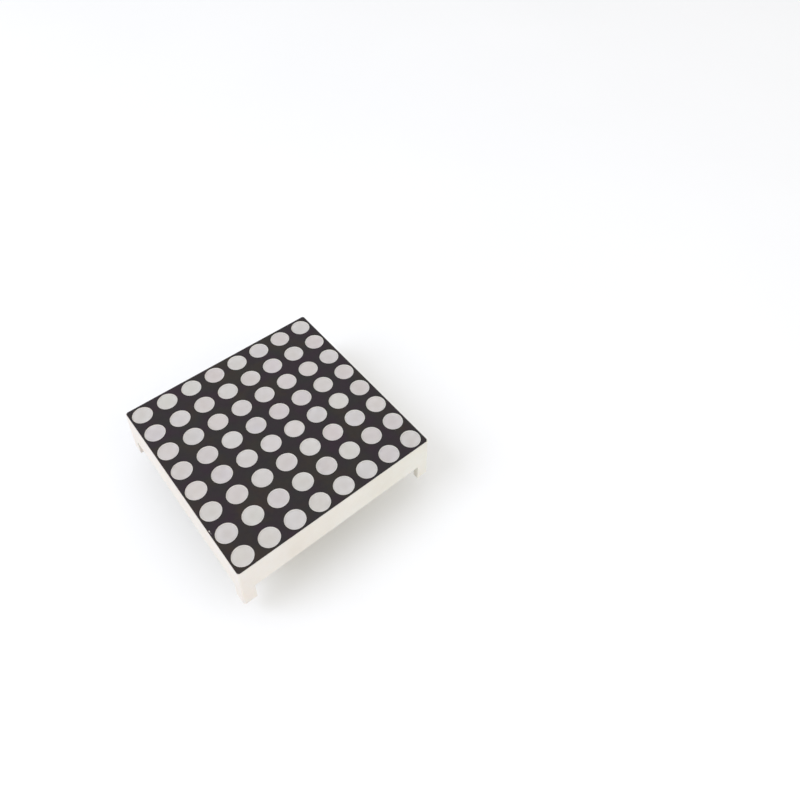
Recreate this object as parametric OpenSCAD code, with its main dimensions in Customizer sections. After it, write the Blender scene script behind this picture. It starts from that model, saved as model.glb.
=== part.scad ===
// Eight by eight dot-matrix display module, seen with its face up (+Z).
// A moulded reflector housing carries 64 conical wells. A circuit board closes
// the wells from below, with one light-emitting chip at the foot of each well,
// and clear epoxy fills the wells. Two rows of round pins pass through the
// board, and potting seals the rear. The origin is the centre of the pin
// pattern at the seating plane, and +X runs along the pin rows.

/* [Housing] */
// Side of the square housing at its seating plane
body_w = 32.0; // [31.7:0.1:36]
// Height from the seating plane to the face
body_h = 8.0; // [7:0.1:10]
// How far each side leans in from the seating plane to the face
side_draft = 0.15; // [0:0.01:0.2]
// Cut across each upright corner edge
corner_cut = 0.25; // [0.05:0.05:0.5]
// Wall round the rear opening
wall_t = 0.9; // [0.7:0.05:1.1]
// Inner corner radius of the rear opening
rear_corner_r = 0.6; // [0.4:0.1:1]
// Width of the ledge that the board is pressed against
ledge_w = 0.5; // [0.3:0.05:0.7]
// Thickness of the front plate between the wells
front_t = 1.2; // [0.8:0.1:1.8]
// Thickness of the ribs that join the well tubes
rib_t = 0.5; // [0.4:0.05:0.8]
// Gap between the ribs and the board
rib_gap = 0.6; // [0.3:0.1:1]
// Height of the notch under each side, between the corner feet
notch_h = 2.9; // [2.2:0.1:3.2]
// Length of each corner foot beside the notches
foot_l = 2.0; // [1.5:0.1:4]

/* [Face] */
// Thickness of the black face coat
print_t = 0.1; // [0.06:0.01:0.2]
// Bare margin between the face coat and the housing's edge
print_inset = 0.07; // [0.04:0.01:0.15]
// Diameter of each round window in the face coat
dot_d = 3.0; // [2.9:0.02:3.1]
// Length of the small nick in the coat near one edge
nick_l = 0.34; // [0.2:0.02:0.5]
// Width of the small nick
nick_w = 0.16; // [0.1:0.02:0.2]
// Distance of the nick from the edge of the coat
nick_inset = 0.1; // [0.05:0.01:0.2]
// Distance of the nick from the middle of that edge
nick_along = 8.4; // [6:0.1:10]

/* [Wells] */
// Distance between neighbouring dots
dot_pitch = 4.0; // [3.95:0.01:4.02]
// Diameter of a well at the face
well_front_d = 2.76; // [2.6:0.02:2.84]
// Diameter of a well at the board
well_rear_d = 1.9; // [1.7:0.05:2]
// Wall of each well tube
well_wall = 0.45; // [0.35:0.05:0.5]
// Gap between the well tubes and the board
tube_gap = 0.1; // [0.08:0.01:0.2]
// Depth of the epoxy's surface below the moulded face
fill_drop = 0.03; // [0.01:0.01:0.1]

/* [Board] */
// Thickness of the circuit board
board_t = 1.0; // [0.8:0.1:1.2]
// Depth of the potting over the board
potting_t = 0.7; // [0.6:0.05:0.9]
// Distance from the notches' edge up to the potting's surface
potting_inset = 0.2; // [0.1:0.05:0.4]
// Gap between the board's edge and the housing
board_gap = 0.1; // [0.05:0.01:0.2]
// Thickness of the copper tracks
copper_t = 0.05; // [0.04:0.01:0.08]
// Width of the row tracks on the front of the board
row_track_w = 0.3; // [0.2:0.05:0.35]
// Width of the column tracks on the rear of the board
column_track_w = 0.3; // [0.2:0.05:0.35]
// Side of the copper pad under each chip
die_pad_w = 0.5; // [0.4:0.05:0.55]
// Side of the copper pad under each bond wire's end
wire_pad_w = 0.36; // [0.3:0.02:0.4]
// Diameter of the plated hole under each wire pad
via_d = 0.24; // [0.2:0.02:0.28]

/* [Chips and wires] */
// Side of each light-emitting chip
chip_w = 0.3; // [0.25:0.01:0.35]
// Height of each chip
chip_h = 0.2; // [0.15:0.01:0.25]
// Distance from the chip's row to the bond wire's pad
wire_reach = 0.6; // [0.54:0.02:0.66]
// Diameter of the bond wire
wire_d = 0.05; // [0.04:0.01:0.07]

/* [Pins] */
// Distance between neighbouring pins
pin_pitch = 2.54; // [2.5:0.01:2.58]
// Distance between the two rows of pins
row_spacing = 24.0; // [23.8:0.1:24.2]
// Diameter of the free end of a pin
pin_d = 0.5; // [0.45:0.01:0.55]
// Length of a pin below the seating plane
pin_l = 3.5; // [2.8:0.1:5]
// Length of the pointed tip
tip_l = 0.3; // [0.2:0.05:0.5]
// Diameter of the flat end of the tip
tip_d = 0.26; // [0.2:0.02:0.3]
// Diameter of the collar that stops a pin against the board
collar_d = 0.9; // [0.8:0.02:0.96]
// Depth of potting that covers the collar
collar_cover = 0.08; // [0.05:0.01:0.1]
// Width across the corners of the fluted shank in the board
shank_d = 0.6; // [0.56:0.02:0.64]
// Radial gap between the shank's corners and the board's hole
shank_gap = 0.02; // [0.01:0.01:0.04]
// Length of the shank above the board
shank_over = 0.45; // [0.4:0.05:0.6]
// Diameter of the solder joint at its foot
solder_d = 1.0; // [0.9:0.02:1.04]
// Height of the solder joint
solder_h = 0.34; // [0.25:0.01:0.36]

/* [Hidden] */
DOTS = 8;       // dots along each side
PINS = 8;       // pins in each row
$fn = 64;
OVER = 0.5;     // how far a cutter passes the face that it opens
CLEAR = 0.05;   // least gap between hidden pieces that don't touch

// Heights above the seating plane
potting_z = notch_h + potting_inset;
board_z = potting_z + potting_t;
board_top = board_z + board_t;
copper_top = board_top + copper_t;
tube_z = board_top + tube_gap;
rib_z = board_top + rib_gap;
moulded_h = body_h - print_t;
plate_z = moulded_h - front_t;
fill_top = moulded_h - fill_drop;
chip_top = copper_top + chip_h;
solder_top = copper_top + solder_h;

// Half widths
face_half = body_w / 2 - side_draft;
cavity_half = body_w / 2 - wall_t;
board_half = cavity_half - board_gap;
ledge_half = cavity_half - ledge_w;

// Centres of the dots and pins
dot_at = [for (i = [0 : DOTS - 1]) (i - (DOTS - 1) / 2) * dot_pitch];
pin_at = [for (i = [0 : PINS - 1]) (i - (PINS - 1) / 2) * pin_pitch];

// A column track keeps this far from the middle of the nearest pin
track_keep = collar_d / 2 + column_track_w / 2 + CLEAR;
// Signed distance from the nearest pin to a dot column at x
function from_pin(x) =
    let (away = [for (p = pin_at) x - p], least = min([for (a = away) abs(a)]))
    [for (a = away) if (abs(a) == least) a][0];
// A column track runs under its dots, moved aside where a pin is in its way
function track_x(x) =
    let (gap = from_pin(x), short = track_keep - abs(gap))
    x + (short > 0 ? (gap < 0 ? -short : short) : 0);

// Inner radius of a well at height z
function well_r(z) =
    let (share = (z - tube_z) / (moulded_h - tube_z))
    (well_rear_d + (well_front_d - well_rear_d) * share) / 2;

// Pins count along the front row, then back along the rear row
function pin_x(n) = n <= PINS ? pin_at[n - 1] : pin_at[2 * PINS - n];
function pin_y(n) = (n <= PINS ? -1 : 1) * row_spacing / 2;

LENS_NODES = [for (r = [1 : DOTS]) str("lens_row_", r)];
CHIP_NODES = [for (r = [1 : DOTS]) str("led_chips_row_", r)];
WIRE_NODES = [for (r = [1 : DOTS]) str("bond_wires_row_", r)];
PIN_NODES = [for (n = [1 : 2 * PINS]) str("pin_", n)];

// ---- Shared outlines -------------------------------------------------------

// Square with its corners cut at 45 degrees
module cut_square(half, cut) {
    intersection() {
        square(2 * half, center = true);
        rotate(45) square(sqrt(2) * (2 * half - cut), center = true);
    }
}

// Square with round corners
module round_square(half, r) {
    square([2 * half, 2 * (half - r)], center = true);
    square([2 * (half - r), 2 * half], center = true);
    for (x = [-1, 1], y = [-1, 1])
        translate([x, y] * (half - r)) circle(r);
}

module at_dots() {
    for (x = dot_at, y = dot_at) translate([x, y, 0]) children();
}

module at_pins() {
    for (n = [1 : 2 * PINS]) translate([pin_x(n), pin_y(n), 0]) children();
}

// Cone on the well's own taper, grown by a wall, between two heights
module well_cone(z0, z1, wall = 0) {
    translate([0, 0, z0])
        cylinder(h = z1 - z0, r1 = well_r(z0) + wall, r2 = well_r(z1) + wall);
}

// ---- Housing ---------------------------------------------------------------

// Long bar with both sides leaning in by the draft
module leaning_bar(half) {
    rotate([90, 0, 0]) linear_extrude(height = 2 * body_w, center = true)
        polygon([[-half, 0], [half, 0],
                 [half - side_draft, moulded_h], [side_draft - half, moulded_h]]);
}

// The block's outer form: drafted sides and cut corners
module housing_block() {
    corner_half = (body_w - corner_cut) / sqrt(2);
    intersection() {
        leaning_bar(body_w / 2);
        rotate(90) leaning_bar(body_w / 2);
        rotate(45) leaning_bar(corner_half);
        rotate(135) leaning_bar(corner_half);
    }
}

// Rear opening up to the board's seat
module rear_opening() {
    translate([0, 0, -OVER]) linear_extrude(board_top + OVER)
        round_square(cavity_half, rear_corner_r);
}

// Hollow between the well tubes, above the board and under the front plate
module hollow_round_tubes() {
    difference() {
        translate([0, 0, board_top - CLEAR])
            linear_extrude(plate_z - board_top + CLEAR)
                round_square(ledge_half, rear_corner_r);
        at_dots() well_cone(tube_z, moulded_h, well_wall);
        for (y = dot_at) translate([-body_w / 2, y - rib_t / 2, rib_z])
            cube([body_w, rib_t, body_h]);
    }
}

// Relief in the ledge behind the rearmost dots, over their bond wires' pads
module pad_relief() {
    reach = dot_at[DOTS - 1] + wire_reach + wire_pad_w / 2 + CLEAR;
    translate([-ledge_half, 0, board_top - CLEAR])
        cube([2 * ledge_half, reach, tube_gap + CLEAR]);
}

// Notch between the corner feet, under each side
module foot_notches() {
    long = body_w - 2 * foot_l;
    for (turn = [0 : 90 : 270]) rotate(turn)
        translate([-long / 2, body_w / 2 - wall_t - OVER, -OVER])
            cube([long, 2 * (wall_t + OVER), notch_h + OVER]);
}

module reflector_housing() {
    color("ivory") difference() {
        housing_block();
        rear_opening();
        hollow_round_tubes();
        pad_relief();
        at_dots() well_cone(tube_z - OVER, moulded_h + OVER);
        foot_notches();
        // room for the solder joints, should a well tube stand close to one
        at_pins() translate([0, 0, board_top])
            cylinder(h = copper_t + shank_over + CLEAR, d = solder_d + CLEAR);
    }
}

// Black coat on the face, with a window over each well
module face_coat() {
    coat_half = face_half - print_inset;
    nick_x = nick_inset + nick_w / 2 - coat_half;
    color([0.22, 0.2, 0.2]) translate([0, 0, moulded_h])
        linear_extrude(print_t) difference() {
            cut_square(coat_half, corner_cut);
            for (x = dot_at, y = dot_at) translate([x, y]) circle(d = dot_d);
            translate([nick_x, -nick_along]) scale([nick_w / nick_l, 1])
                circle(d = nick_l, $fn = 10);
        }
}

// ---- Light sources ---------------------------------------------------------

// Chip at the middle of its well
module chip() {
    translate([-chip_w / 2, -chip_w / 2, copper_top])
        cube([chip_w, chip_w, chip_h]);
}

// Bond wire from the chip's top: a half loop, then a straight drop to its pad
module bond_wire(aside) {
    reach = norm([aside, wire_reach]);
    rotate(atan2(wire_reach, aside)) {
        translate([reach / 2, 0, chip_top]) rotate([90, 0, 0])
            rotate_extrude(angle = 180) translate([reach / 2, 0])
                circle(d = wire_d, $fn = 16);
        translate([reach, 0, copper_top])
            cylinder(h = chip_h, d = wire_d, $fn = 16);
    }
}

module chip_row(r) {
    color("gold") for (x = dot_at) translate([x, dot_at[r - 1], 0]) chip();
}

module wire_row(r) {
    color("orange") for (x = dot_at)
        translate([x, dot_at[r - 1], 0]) bond_wire(track_x(x) - x);
}

// Epoxy that fills the wells of one row, round the chips and wires
module lens_row(r) {
    color([0.78, 0.76, 0.77]) for (x = dot_at)
        translate([x, dot_at[r - 1], 0]) difference() {
            well_cone(copper_top, fill_top);
            chip();
            bond_wire(track_x(x) - x);
        }
}

// ---- Board and copper ------------------------------------------------------

module circuit_board() {
    color("darkgreen") translate([0, 0, board_z]) linear_extrude(board_t)
        difference() {
            round_square(board_half, rear_corner_r);
            for (n = [1 : 2 * PINS])
                translate([pin_x(n), pin_y(n)]) circle(d = shank_d + 2 * shank_gap);
            for (x = dot_at, y = dot_at)
                translate([track_x(x), y + wire_reach]) circle(d = via_d);
        }
}

// One track along each row on the board's front, widened under the chips
module row_tracks() {
    length = dot_at[DOTS - 1] - dot_at[0] + die_pad_w;
    color("goldenrod") translate([0, 0, board_top]) linear_extrude(copper_t)
        for (y = dot_at) translate([0, y]) {
            square([length, row_track_w], center = true);
            for (x = dot_at) translate([x, 0]) square(die_pad_w, center = true);
        }
}

// One track down each column on the board's rear, with plated holes that
// lead up to the wire pads on the front
module column_tracks() {
    length = dot_at[DOTS - 1] - dot_at[0] + wire_pad_w;
    color("peru") for (x = dot_at) translate([track_x(x), wire_reach, 0]) {
        translate([-column_track_w / 2, -length / 2, board_z - copper_t])
            cube([column_track_w, length, copper_t]);
        for (y = dot_at) translate([0, y, board_z - copper_t]) {
            cylinder(h = board_t + 2 * copper_t, d = via_d);
            translate([-wire_pad_w / 2, -wire_pad_w / 2, board_t + copper_t])
                cube([wire_pad_w, wire_pad_w, copper_t]);
        }
    }
}

// Copper rings round the pin holes, under the solder
module pin_lands() {
    color("goldenrod") at_pins() translate([0, 0, board_top]) difference() {
        cylinder(h = copper_t, d = solder_d);
        translate([0, 0, -OVER])
            cylinder(h = copper_t + 2 * OVER, d = shank_d + 2 * shank_gap);
    }
}

// ---- Pins, solder and potting ----------------------------------------------

// Fluted shank, pressed through the board from the rear
module shank(z0, z1) {
    translate([0, 0, z0]) cylinder(h = z1 - z0, d = shank_d, $fn = 8);
}

// Pin from its pointed tip to the shank's end on the board's front
module pin_body() {
    collar_z = potting_z + collar_cover;
    translate([0, 0, -pin_l]) cylinder(h = tip_l, d1 = tip_d, d2 = pin_d);
    translate([0, 0, tip_l - pin_l])
        cylinder(h = collar_z + pin_l - tip_l, d = pin_d);
    translate([0, 0, collar_z]) cylinder(h = board_z - collar_z, d = collar_d);
    shank(board_z, board_top + shank_over);
}

module pin(n) {
    color("silver") translate([pin_x(n), pin_y(n), 0]) pin_body();
}

module solder_joints() {
    color("lightgray") at_pins() difference() {
        translate([0, 0, copper_top])
            cylinder(h = solder_h, d1 = solder_d, d2 = shank_d + CLEAR);
        shank(copper_top - OVER, solder_top + OVER);
    }
}

module rear_potting() {
    color("linen") difference() {
        translate([0, 0, potting_z]) linear_extrude(potting_t)
            round_square(cavity_half, rear_corner_r);
        at_pins() pin_body();
        column_tracks();
    }
}

// ---- Nodes -----------------------------------------------------------------

reflector_housing();
face_coat();
circuit_board();
row_tracks();
column_tracks();
pin_lands();
solder_joints();
rear_potting();
for (r = [1 : DOTS]) {
    lens_row(r);
    chip_row(r);
    wire_row(r);
}
for (n = [1 : 2 * PINS])
    pin(n);
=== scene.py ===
"""Looks of an eight by eight dot-matrix display module, standing on its pins on a pale floor."""
import math
import random

import bmesh
import bpy
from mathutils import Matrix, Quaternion, Vector


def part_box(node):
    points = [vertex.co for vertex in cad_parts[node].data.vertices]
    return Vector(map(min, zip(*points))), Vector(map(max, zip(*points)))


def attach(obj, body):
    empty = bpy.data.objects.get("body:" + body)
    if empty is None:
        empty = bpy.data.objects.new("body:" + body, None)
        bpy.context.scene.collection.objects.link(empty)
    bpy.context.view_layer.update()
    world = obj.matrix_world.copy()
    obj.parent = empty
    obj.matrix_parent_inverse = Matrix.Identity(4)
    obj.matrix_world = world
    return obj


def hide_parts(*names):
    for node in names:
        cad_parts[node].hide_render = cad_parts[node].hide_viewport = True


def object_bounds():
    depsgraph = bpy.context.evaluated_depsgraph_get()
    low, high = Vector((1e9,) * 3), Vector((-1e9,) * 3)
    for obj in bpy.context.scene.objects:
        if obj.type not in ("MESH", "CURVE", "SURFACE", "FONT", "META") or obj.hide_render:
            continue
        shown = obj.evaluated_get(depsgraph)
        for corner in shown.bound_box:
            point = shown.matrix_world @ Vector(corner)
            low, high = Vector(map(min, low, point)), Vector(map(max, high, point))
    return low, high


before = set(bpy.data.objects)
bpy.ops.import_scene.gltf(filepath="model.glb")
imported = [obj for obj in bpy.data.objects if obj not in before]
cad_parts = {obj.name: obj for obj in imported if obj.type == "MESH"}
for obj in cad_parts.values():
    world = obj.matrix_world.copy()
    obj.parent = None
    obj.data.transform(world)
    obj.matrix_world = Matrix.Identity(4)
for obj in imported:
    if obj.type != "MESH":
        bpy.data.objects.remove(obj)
cad_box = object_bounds()

MM = 0.001
DOTS = 8                 # dots in a row, and rows
PINS = 16
ROWS = range(1, DOTS + 1)
DOT_PITCH = 4 * MM
BODY_W = 32 * MM

# ---- Camera and floor ----
CAMERA_AT = Vector((-29.648, -60.708, 100.612)) * MM
CAMERA_PAN = 41.06       # degrees from +Y towards +X
CAMERA_TILT = 43.04      # degrees below the horizon
CAMERA_ROLL = 1.726      # degrees
CAMERA_LENS = 34.205     # mm on a 36 mm sensor
CAMERA_SHIFT = -0.1604   # share of the frame, down
FLOOR_SIDE = 4.0         # m
WORLD_LIGHT = 0.84

# ---- Edges ----
EDGE_ROUND = 0.07 * MM   # rounding of the housing's edges
EDGE_STEPS = 2
EDGE_FROM = 40           # degrees between two faces that an edge is rounded from
SMOOTH_BELOW = 35        # degrees between two faces that still shade as one

# ---- Epoxy in the wells ----
WELL_FOOT_R = 0.95 * MM  # radius of a well at the board
DISH = 0.10 * MM         # how far the middle of a fill sinks below its rim
DISH_SPREAD = 0.03 * MM  # how much that differs from dot to dot
DISH_SEED = 8
FILL_SIDES = 72
FILL_RINGS = 12
FILL_CROWDING = 1.6      # how much closer the rings lie towards the rim

# ---- Nick in the coat ----
NICK_AT = Vector((-15.59, -8.4)) * MM
NICK_HALF_W = 0.065 * MM
NICK_HALF_L = 0.15 * MM
NICK_DEEP = 0.1 * MM
NICK_SIDES = 24
SMEAR_AT = Vector((-15.6, -8.75, 8)) * MM     # faint scratch beside the nick
SMEAR_REACH = Vector((0.09, 0.32, 1)) * MM

# ---- Potting ----
POTTING_STEPS = 150      # cells along each side of the potting's surface
POTTING_MERGE = 1e-6     # m, shortest edge that is kept
MENISCUS_H = 0.12 * MM   # how far the potting climbs a wall or pin
MENISCUS_L = 0.3 * MM    # and how quickly it falls away
CORNER_R = 0.6 * MM      # corner radius of the housing's rear opening
PIN_R = 0.25 * MM


# ---------------------------------------------------------------- node helpers
class Shader:
    """A material's node tree with a Principled shader, built one node at a time."""

    def __init__(self, name, **values):
        self.material = bpy.data.materials.new(name)
        self.material.use_nodes = True
        self.tree = self.material.node_tree
        self.surface = self.tree.nodes["Principled BSDF"]
        for key, value in values.items():
            self.surface.inputs[key.replace("_", " ")].default_value = value
        self.place = self.tree.nodes.new("ShaderNodeTexCoord").outputs["Object"]

    def link(self, out, into):
        self.tree.links.new(out, into)

    def placed(self, scale=(1, 1, 1), move=(0, 0, 0)):
        """Object coordinates, scaled along each axis and then moved."""
        node = self.tree.nodes.new("ShaderNodeMapping")
        node.inputs["Scale"].default_value = scale
        node.inputs["Location"].default_value = move
        self.link(self.place, node.inputs["Vector"])
        return node.outputs["Vector"]

    def noise(self, size, detail=3.0, rough=0.5, place=None):
        """Noise whose blotches measure about size, from 0 to 1."""
        node = self.tree.nodes.new("ShaderNodeTexNoise")
        node.inputs["Scale"].default_value = 1 / size
        node.inputs["Detail"].default_value = detail
        node.inputs["Roughness"].default_value = rough
        self.link(place or self.place, node.inputs["Vector"])
        return node.outputs["Fac"]

    def cells(self, size):
        """Distance from the middle of the nearest of many cells of about that size."""
        node = self.tree.nodes.new("ShaderNodeTexVoronoi")
        node.inputs["Scale"].default_value = 1 / size
        self.link(self.place, node.inputs["Vector"])
        return node.outputs["Distance"]

    def grid(self, pitch):
        """Square cells that meet at the origin: a random colour, and the distance from the middle."""
        node = self.tree.nodes.new("ShaderNodeTexVoronoi")
        node.voronoi_dimensions = "2D"
        node.inputs["Scale"].default_value = 1 / pitch
        node.inputs["Randomness"].default_value = 0
        self.link(self.placed(move=(pitch / 2, pitch / 2, 0)), node.inputs["Vector"])
        return node

    def patch(self, middle, reach):
        """1 at a point, falling to 0 at its reach along each axis."""
        scale = [1 / r for r in reach]
        node = self.tree.nodes.new("ShaderNodeTexGradient")
        node.gradient_type = "SPHERICAL"
        moved = [-m * k for m, k in zip(middle, scale)]
        self.link(self.placed(scale, moved), node.inputs["Vector"])
        return node.outputs["Fac"]

    def along_x(self, length):
        """0 to 1 over a length along x, with the middle at the origin."""
        node = self.tree.nodes.new("ShaderNodeTexGradient")
        self.link(self.placed((1 / length, 1, 1), (0.5, 0, 0)), node.inputs["Vector"])
        return node.outputs["Fac"]

    def ramp(self, value, *stops):
        """Colours along a value: stops are (place, colour) pairs."""
        node = self.tree.nodes.new("ShaderNodeValToRGB")
        ends = node.color_ramp.elements
        while len(ends) < len(stops):
            ends.new(0.5)
        for end, (at, colour) in zip(ends, stops):
            end.position = at
            end.color = (*colour, 1)
        self.link(value, node.inputs["Fac"])
        return node.outputs["Color"]

    def spread(self, value, low, high, floor=0.3, ceiling=0.7):
        """Maps floor..ceiling of a value to low..high."""
        node = self.tree.nodes.new("ShaderNodeMapRange")
        for key, number in zip(("From Min", "From Max", "To Min", "To Max"),
                               (floor, ceiling, low, high)):
            node.inputs[key].default_value = number
        self.link(value, node.inputs["Value"])
        return node.outputs["Result"]

    def mix(self, share, first, second):
        """Mixes two colours, each an output or an RGB triple, by an output or a number."""
        node = self.tree.nodes.new("ShaderNodeMix")
        node.data_type = "RGBA"
        for value, into in zip((share, first, second),
                               (node.inputs[0], node.inputs[6], node.inputs[7])):
            if isinstance(value, bpy.types.NodeSocket):
                self.link(value, into)
            else:
                into.default_value = (*value, 1) if isinstance(value, tuple) else value
        return node.outputs[2]

    def add(self, *values):
        """The sum of several values, each with its own weight."""
        total = None
        for value, weight in values:
            node = self.tree.nodes.new("ShaderNodeMath")
            node.operation = "MULTIPLY_ADD"
            self.link(value, node.inputs[0])
            node.inputs[1].default_value = weight
            if total is None:
                node.inputs[2].default_value = 0.0
            else:
                self.link(total, node.inputs[2])
            total = node.outputs[0]
        return total

    def bump(self, height, depth):
        """Raises the surface by height times depth, in metres."""
        node = self.tree.nodes.new("ShaderNodeBump")
        node.inputs["Distance"].default_value = depth
        self.link(height, node.inputs["Height"])
        self.link(node.outputs["Normal"], self.surface.inputs["Normal"])

    def colour(self, out):
        self.link(out, self.surface.inputs["Base Color"])

    def roughness(self, out):
        self.link(out, self.surface.inputs["Roughness"])


# ---------------------------------------------------------------- materials
def ivory_plastic():
    s = Shader("ivory_plastic", IOR=1.52, Subsurface_Weight=0.12, Subsurface_Scale=0.0008)
    s.surface.inputs["Subsurface Radius"].default_value = (1.0, 0.7, 0.45)
    cloud = s.noise(5 * MM, detail=4)
    speck = s.noise(0.5 * MM, detail=2)
    rosy = s.ramp(cloud, (0.3, (0.79, 0.73, 0.665)), (0.55, (0.82, 0.77, 0.715)),
                  (0.8, (0.835, 0.80, 0.755)))
    greenish = s.ramp(cloud, (0.3, (0.76, 0.74, 0.66)), (0.55, (0.79, 0.78, 0.71)),
                      (0.8, (0.81, 0.805, 0.745)))
    tone = s.mix(s.along_x(BODY_W), rosy, greenish)
    s.colour(s.mix(s.spread(speck, 0.0, 0.08), tone, (0.72, 0.62, 0.48)))
    s.roughness(s.spread(s.noise(1.5 * MM), 0.42, 0.56))
    s.bump(s.add((s.noise(0.09 * MM, detail=2), 0.6), (s.noise(1.2 * MM), 1.5)), 0.004 * MM)
    return s.material


def black_coat():
    s = Shader("black_coat", IOR=1.45, Specular_IOR_Level=0.4)
    warm = s.noise(5 * MM, detail=5, rough=0.6)
    cool = s.noise(2.4 * MM, detail=4)
    tone = s.ramp(warm, (0.4, (0.0205, 0.0080, 0.0165)), (0.5, (0.0180, 0.0100, 0.0125)),
                  (0.6, (0.0270, 0.0155, 0.0105)))
    tone = s.mix(s.spread(cool, 0.0, 0.6), tone, (0.0120, 0.0150, 0.0130))
    smear = s.spread(s.patch(SMEAR_AT, SMEAR_REACH), 0.0, 0.6, 0.0, 0.6)
    s.colour(s.mix(smear, tone, (0.22, 0.20, 0.20)))
    s.roughness(s.spread(s.noise(0.8 * MM, detail=4), 0.44, 0.64))
    s.bump(s.add((s.noise(0.07 * MM, detail=2), 1.0), (s.noise(0.6 * MM), 1.0)), 0.004 * MM)
    return s.material


def pale_epoxy():
    s = Shader("pale_epoxy", IOR=1.54, Subsurface_Weight=0.25, Subsurface_Scale=0.0003)
    s.surface.inputs["Subsurface Radius"].default_value = (1.0, 0.9, 0.8)
    dot = s.grid(DOT_PITCH)
    own = s.ramp(dot.outputs["Color"], (0.1, (0.556, 0.522, 0.514)), (0.9, (0.61, 0.576, 0.558)))
    own = s.mix(0.03, own, dot.outputs["Color"])
    haze = s.noise(1.6 * MM, detail=3)
    own = s.mix(s.spread(haze, 0.0, 0.5), own, (0.535, 0.495, 0.46))
    # Painted highlight: each dot's colour turns paler towards its rim, in patches, standing in for light
    # caught at the rim of the well
    rim = s.spread(dot.outputs["Distance"], 0.0, 0.5, 0.06, 0.36)
    rim_highlight_share = s.mix(s.spread(s.noise(1.1 * MM), 0.0, 1.0), (0.0, 0.0, 0.0), rim)
    s.colour(s.mix(rim_highlight_share, own, (0.74, 0.71, 0.70)))
    s.roughness(s.spread(s.noise(0.7 * MM), 0.3, 0.42))
    s.bump(s.noise(0.35 * MM, detail=2), 0.003 * MM)
    return s.material


def potting_epoxy():
    s = Shader("potting_epoxy", IOR=1.54, Subsurface_Weight=0.3, Subsurface_Scale=0.001)
    s.surface.inputs["Subsurface Radius"].default_value = (1.0, 0.85, 0.6)
    cloud = s.noise(7 * MM, detail=4)
    tone = s.ramp(cloud, (0.3, (0.66, 0.62, 0.50)), (0.6, (0.74, 0.71, 0.61)))
    bubbles = s.cells(1.1 * MM)
    s.colour(s.mix(s.spread(bubbles, 0.25, 0.0, 0.0, 0.12), tone, (0.50, 0.46, 0.34)))
    s.roughness(s.spread(s.noise(2 * MM), 0.14, 0.3))
    s.bump(s.add((s.noise(3 * MM), 1.0), (s.noise(0.4 * MM), 0.1)), 0.02 * MM)
    return s.material


def tinned_wire():
    s = Shader("tinned_wire", Metallic=1.0)
    drawn = s.noise(0.12 * MM, detail=3, place=s.placed((1, 1, 0.06)))
    stain = s.noise(0.6 * MM, detail=4)
    tone = s.ramp(stain, (0.35, (0.60, 0.59, 0.565)), (0.65, (0.72, 0.715, 0.70)))
    s.colour(s.mix(s.spread(drawn, 0.0, 0.35), tone, (0.52, 0.51, 0.49)))
    s.roughness(s.spread(drawn, 0.22, 0.42))
    s.bump(drawn, 0.004 * MM)
    return s.material


def tin_solder():
    s = Shader("tin_solder", Metallic=1.0)
    grain = s.cells(0.12 * MM)
    s.colour(s.ramp(grain, (0.0, (0.62, 0.62, 0.62)), (0.6, (0.74, 0.74, 0.73))))
    s.roughness(s.spread(s.noise(0.2 * MM), 0.25, 0.5))
    s.bump(grain, 0.008 * MM)
    return s.material


def plated_copper():
    s = Shader("plated_copper", Metallic=1.0)
    s.colour(s.ramp(s.noise(0.5 * MM, detail=4), (0.35, (0.72, 0.48, 0.22)), (0.7, (0.86, 0.63, 0.33))))
    s.roughness(s.spread(s.noise(0.1 * MM), 0.28, 0.45))
    s.bump(s.noise(0.06 * MM), 0.003 * MM)
    return s.material


def glass_fibre_board():
    s = Shader("glass_fibre_board", IOR=1.5)
    weave = s.tree.nodes.new("ShaderNodeTexWave")
    weave.inputs["Scale"].default_value = 400
    weave.inputs["Distortion"].default_value = 1.5
    s.link(s.place, weave.inputs["Vector"])
    thread = weave.outputs["Fac"]
    s.colour(s.ramp(thread, (0.0, (0.028, 0.11, 0.045)), (1.0, (0.045, 0.16, 0.06))))
    s.roughness(s.spread(s.noise(1 * MM), 0.3, 0.45))
    s.bump(thread, 0.006 * MM)
    return s.material


def light_chip():
    s = Shader("light_chip", IOR=2.4)
    facet = s.cells(0.1 * MM)
    s.colour(s.ramp(facet, (0.0, (0.75, 0.55, 0.2)), (0.5, (0.35, 0.08, 0.05))))
    s.roughness(s.spread(s.noise(0.05 * MM), 0.15, 0.3))
    return s.material


def gold_wire():
    s = Shader("gold_wire", Metallic=1.0)
    s.colour(s.ramp(s.noise(0.1 * MM), (0.3, (0.9, 0.66, 0.25)), (0.7, (0.97, 0.77, 0.38))))
    s.roughness(s.spread(s.noise(0.05 * MM), 0.15, 0.25))
    return s.material


def floor_paper():
    s = Shader("floor_paper")
    s.colour(s.ramp(s.noise(60 * MM, detail=3), (0.3, (0.95, 0.95, 0.95)), (0.7, (0.965, 0.965, 0.965))))
    s.roughness(s.spread(s.noise(4 * MM), 0.85, 0.95))
    s.bump(s.noise(0.6 * MM, detail=3), 0.01 * MM)
    return s.material


# ---------------------------------------------------------------- geometry helpers
def new_piece(name, bm, material):
    """Turns a bmesh into an object that rides on the part, smooth except at its edges."""
    mesh = bpy.data.meshes.new(name)
    bmesh.ops.recalc_face_normals(bm, faces=bm.faces)
    for face in bm.faces:
        face.smooth = True
    sharp = math.radians(SMOOTH_BELOW)
    for edge in bm.edges:
        edge.smooth = len(edge.link_faces) == 2 and edge.calc_face_angle() < sharp
    bm.to_mesh(mesh)
    bm.free()
    piece = bpy.data.objects.new(name, mesh)
    piece.data.materials.append(material)
    bpy.context.scene.collection.objects.link(piece)
    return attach(piece, "root")


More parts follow.
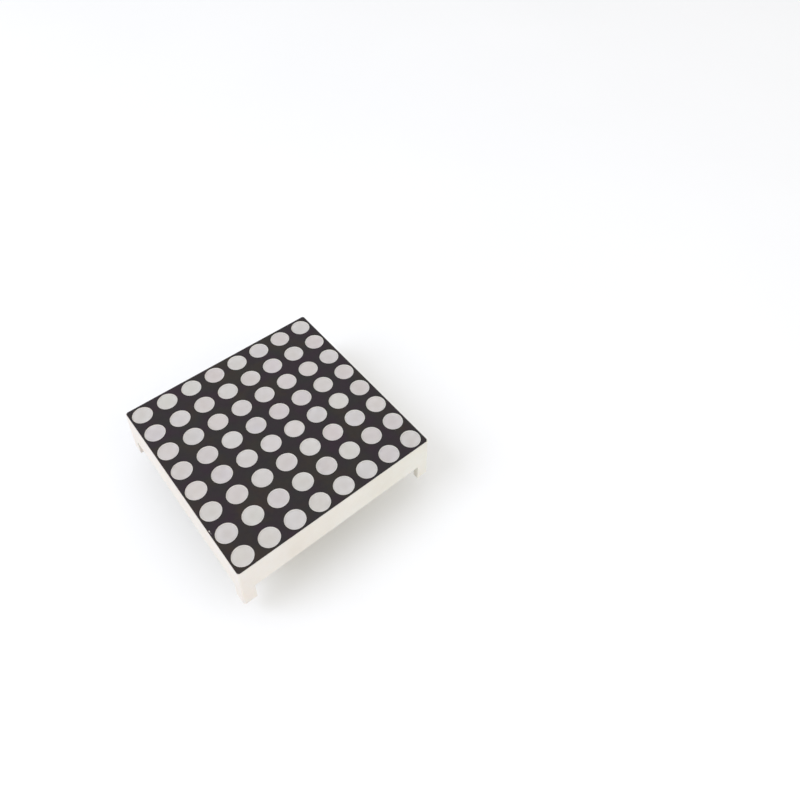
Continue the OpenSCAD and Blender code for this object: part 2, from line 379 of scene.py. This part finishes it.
def ring(bm, centre, reach, height, sides):
    """Points of a level ellipse; reach holds its half lengths along x and y."""
    turn = [2 * math.pi * k / sides for k in range(sides)]
    return [
        bm.verts.new((centre[0] + reach[0] * math.cos(a), centre[1] + reach[1] * math.sin(a), height))
        for a in turn]


def band(bm, lower, upper, sides):
    """Faces between two rings, either of which may be a single point."""
    for k in range(sides):
        after = (k + 1) % sides
        corners = [lower[k % len(lower)], lower[after % len(lower)],
                   upper[after % len(upper)], upper[k % len(upper)]]
        bm.faces.new(list(dict.fromkeys(corners)))


def revolve(bm, centre, profile, sides):
    """Closed solid turned from (radius, height) points that start and end on the axis."""
    rings = []
    for radius, height in profile:
        if radius == 0:
            rings.append([bm.verts.new((centre[0], centre[1], height))])
        else:
            rings.append(ring(bm, centre, (radius, radius), height, sides))
    for lower, upper in zip(rings, rings[1:]):
        band(bm, lower, upper, sides)


# ---------------------------------------------------------------- pieces
def dished(rim_r, rim_z, dish):
    """(radius, height) points of a dished surface, from its rim inwards."""
    points = []
    for j in range(FILL_RINGS, 0, -1):
        share = 1 - (1 - j / FILL_RINGS) ** FILL_CROWDING
        points.append((rim_r * share, rim_z - dish * (1 - 0.7 * share**2 - 0.3 * share**6)))
    return points


def lens_fill(row, material, draw):
    """A row of epoxy fills, each with a dished surface that climbs the wall of its well."""
    low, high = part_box(f"lens_row_{row}")
    rim_r = (high.y - low.y) / 2
    first, last = low.x + rim_r, high.x - rim_r
    centre_y = (low.y + high.y) / 2
    bm = bmesh.new()
    for k in range(DOTS):
        dish = DISH + draw.uniform(-DISH_SPREAD, DISH_SPREAD)
        surface = dished(rim_r, high.z, dish)
        profile = [(0, low.z), (WELL_FOOT_R, low.z), *surface, (0, high.z - dish)]
        centre = (first + (last - first) * k / (DOTS - 1), centre_y)
        revolve(bm, centre, profile, FILL_SIDES)
    piece = new_piece(f"lens_fill_row_{row}", bm, material)
    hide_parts(f"lens_row_{row}")


def round_off(x, y, half):
    """Brings a point past the round corner of a square back onto its arc."""
    inner = half - CORNER_R
    past_x, past_y = max(abs(x) - inner, 0), max(abs(y) - inner, 0)
    past = math.hypot(past_x, past_y)
    if past <= CORNER_R:
        return x, y
    pull = CORNER_R / past
    return math.copysign(inner + past_x * pull, x), math.copysign(inner + past_y * pull, y)


def meniscus(x, y, half, pins):
    """How far the poured surface climbs at a point, near a wall or a pin."""
    away = [half - abs(x), half - abs(y)]
    away += [math.hypot(x - pin.x, y - pin.y) - PIN_R for pin in pins]
    return MENISCUS_H * math.exp(-max(min(away), 0) / MENISCUS_L)


def rear_fill(material, pins):
    """Potting as a slab whose outer surface climbs the walls and the pins."""
    low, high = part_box("rear_potting")
    half = (high.x - low.x) / 2
    bm = bmesh.new()
    bmesh.ops.create_grid(bm, x_segments=POTTING_STEPS, y_segments=POTTING_STEPS, size=half)
    for v in bm.verts:
        v.co.x, v.co.y = round_off(v.co.x, v.co.y, half)
        v.co.z = low.z - meniscus(v.co.x, v.co.y, half, pins)
    bmesh.ops.dissolve_degenerate(bm, edges=bm.edges, dist=POTTING_MERGE)
    rim = [edge for edge in bm.edges if edge.is_boundary]
    wall = bmesh.ops.extrude_edge_only(bm, edges=rim)["geom"]
    for v in [item for item in wall if isinstance(item, bmesh.types.BMVert)]:
        v.co.z = high.z
    bmesh.ops.holes_fill(bm, edges=[edge for edge in bm.edges if edge.is_boundary])
    piece = new_piece("rear_fill", bm, material)
    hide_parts("rear_potting")


def nick_burr(material):
    """Ridge of scraped plastic that stands in the coat's nick, just under the coat's surface."""
    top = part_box("face_coat")[1].z
    bm = bmesh.new()
    rings = [ring(bm, NICK_AT, (share * NICK_HALF_W, share * NICK_HALF_L), top - drop, NICK_SIDES)
             for share, drop in ((1.0, NICK_DEEP), (0.85, 0.3 * NICK_DEEP), (0.5, 0.1 * NICK_DEEP))]
    for lower, upper in zip(rings, rings[1:]):
        band(bm, lower, upper, NICK_SIDES)
    bm.faces.new(rings[0][::-1])
    bm.faces.new(rings[-1])
    piece = new_piece("nick_burr", bm, material)


# ---------------------------------------------------------------- the dressed part
def coat_nodes(ivory, pins):
    """Gives every CAD node its material."""
    copper, metal = plated_copper(), tinned_wire()
    chip, wire = light_chip(), gold_wire()
    finish = {"reflector_housing": ivory, "face_coat": black_coat(),
              "circuit_board": glass_fibre_board(), "solder_joints": tin_solder(),
              "row_tracks": copper, "column_tracks": copper, "pin_lands": copper}
    for row in ROWS:
        finish[f"led_chips_row_{row}"] = chip
        finish[f"bond_wires_row_{row}"] = wire
    for name in pins:
        finish[name] = metal
    for name, material in finish.items():
        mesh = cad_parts[name].data
        mesh.materials.clear()
        mesh.materials.append(material)


def soften(node):
    """Rounds a CAD node's edges a little, as moulding does."""
    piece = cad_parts[node]
    weld = piece.modifiers.new("weld", "WELD")
    weld.merge_threshold = 1e-7
    bevel = piece.modifiers.new("edge", "BEVEL")
    bevel.width = EDGE_ROUND
    bevel.segments = EDGE_STEPS
    bevel.limit_method = "ANGLE"
    bevel.angle_limit = math.radians(EDGE_FROM)


def dress():
    """Finishes the CAD nodes, and builds the pieces that replace some of them."""
    pins = [f"pin_{number}" for number in range(1, PINS + 1)]
    ivory, epoxy = ivory_plastic(), pale_epoxy()
    coat_nodes(ivory, pins)
    soften("reflector_housing")
    nick_burr(ivory)
    draw = random.Random(DISH_SEED)
    for row in ROWS:
        lens_fill(row, epoxy, draw)
    middles = [(low + high) / 2 for low, high in map(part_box, pins)]
    rear_fill(potting_epoxy(), middles)


# ---------------------------------------------------------------- stage
def softbox(name, place, size, power, colour):
    """Square soft light that looks at the part: place and size in metres, power in watts."""
    lamp = bpy.data.lights.new(name, "AREA")
    lamp.size = size
    lamp.energy = power
    lamp.color = colour
    box = bpy.data.objects.new(name, lamp)
    box.location = place
    box.rotation_mode = "QUATERNION"
    box.rotation_quaternion = (-Vector(place)).to_track_quat("-Z", "Y")
    bpy.context.scene.collection.objects.link(box)


def stage():
    """Pale floor, even white surroundings and two softboxes."""
    floor_z = cad_box[0].z
    bpy.ops.mesh.primitive_plane_add(size=FLOOR_SIDE, location=(0, 0, floor_z))
    floor = bpy.context.object
    floor.name = "floor"
    floor.data.materials.append(floor_paper())
    world = bpy.data.worlds.new("studio")
    world.use_nodes = True
    world.node_tree.nodes["Background"].inputs["Color"].default_value = (1, 1, 1, 1)
    world.node_tree.nodes["Background"].inputs["Strength"].default_value = WORLD_LIGHT
    bpy.context.scene.world = world
    softbox("key", place=(-0.30, 0.10, 0.35), size=0.25, power=0.74, colour=(0.82, 0.87, 1.0))
    softbox("fill", place=(0.15, -0.35, 0.25), size=0.35, power=0.25, colour=(1.0, 0.95, 0.87))


def camera():
    """Camera at the photo's viewing angle."""
    data = bpy.data.cameras.new("camera")
    data.lens = CAMERA_LENS
    data.shift_y = CAMERA_SHIFT
    data.clip_start = 0.005
    data.clip_end = 20
    cam = bpy.data.objects.new("camera", data)
    cam.location = CAMERA_AT
    pan, tilt = math.radians(CAMERA_PAN), math.radians(CAMERA_TILT)
    look = Vector((math.sin(pan) * math.cos(tilt), math.cos(pan) * math.cos(tilt), -math.sin(tilt)))
    cam.rotation_mode = "QUATERNION"
    cam.rotation_quaternion = (look.to_track_quat("-Z", "Y")
                               @ Quaternion((0, 0, 1), math.radians(CAMERA_ROLL)))
    bpy.context.scene.collection.objects.link(cam)
    bpy.context.scene.camera = cam


camera()
dress()
stage()
bpy.context.scene.view_settings.view_transform = "Standard"
